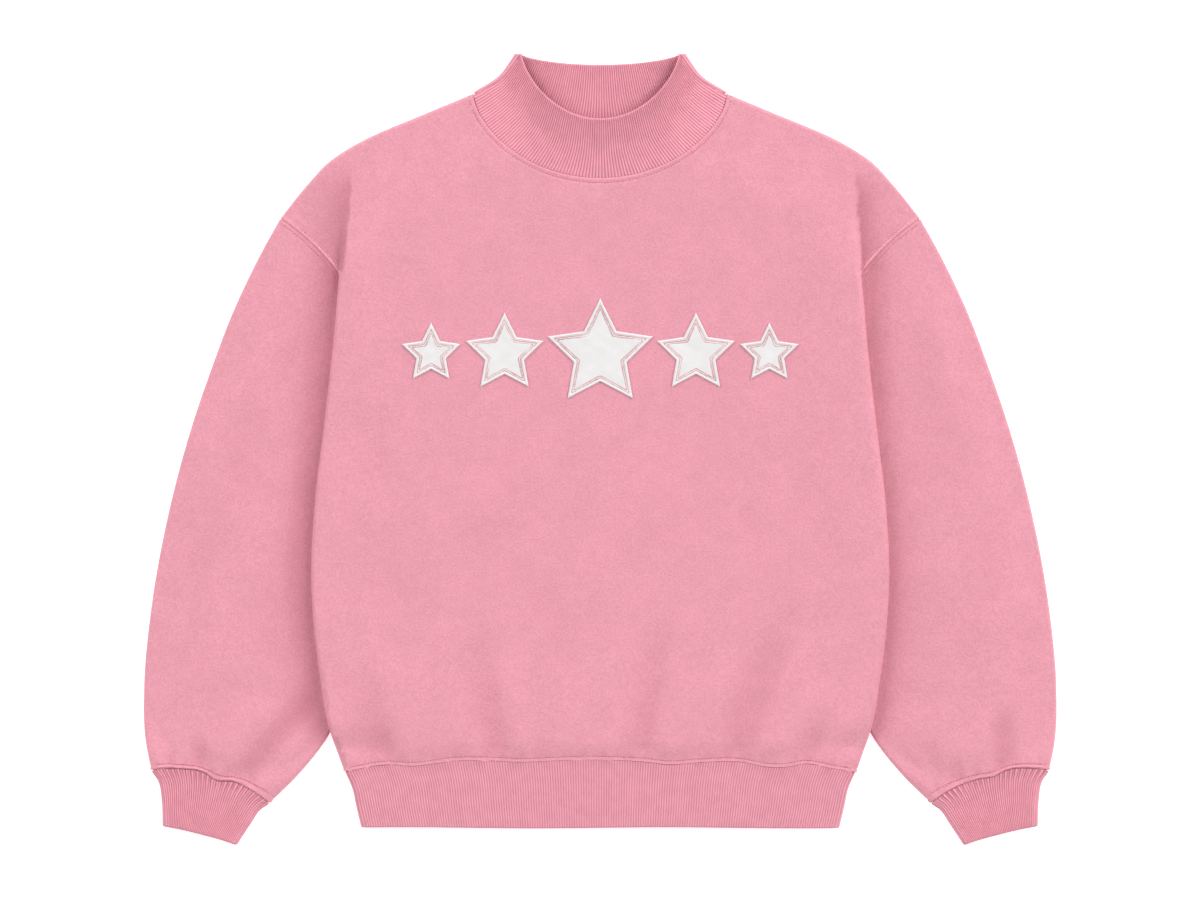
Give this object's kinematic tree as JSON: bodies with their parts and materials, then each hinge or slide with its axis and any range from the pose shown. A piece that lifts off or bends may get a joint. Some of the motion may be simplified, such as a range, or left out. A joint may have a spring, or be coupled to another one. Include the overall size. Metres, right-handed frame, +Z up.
{
  "type": "mock neck sweatshirt",
  "caption": "Boxy fleece pullover laid flat, with a standing ribbed mock neck, dropped shoulders, gathered cuffs, a ribbed hem band and a row of white stars sewn on the chest.",
  "frame": {"origin": "middle of the garment's outline in plan, on the surface that it lies on", "axes": "+X to the wearer's left across the chest, +Y from the hem up to the neck, +Z up out of the front"},
  "size_m": [0.8212, 0.7129, 0.0138],
  "materials": {
    "fleece": "matt brushed fleece, pink, fuzzy",
    "rib": "matt rib knit, deeper pink",
    "twill": "matt white twill with pink edge stitching"
  },
  "bodies": {
    "root": {"front_panel": "fleece", "back_panel": "fleece", "sleeve_left": "fleece", "sleeve_right": "fleece", "collar": "rib", "hem_rib": "rib", "cuff_left": "rib", "cuff_right": "rib", "star_1": "twill", "star_2": "twill", "star_3": "twill", "star_4": "twill", "star_5": "twill"}
  },
  "joints": []
}
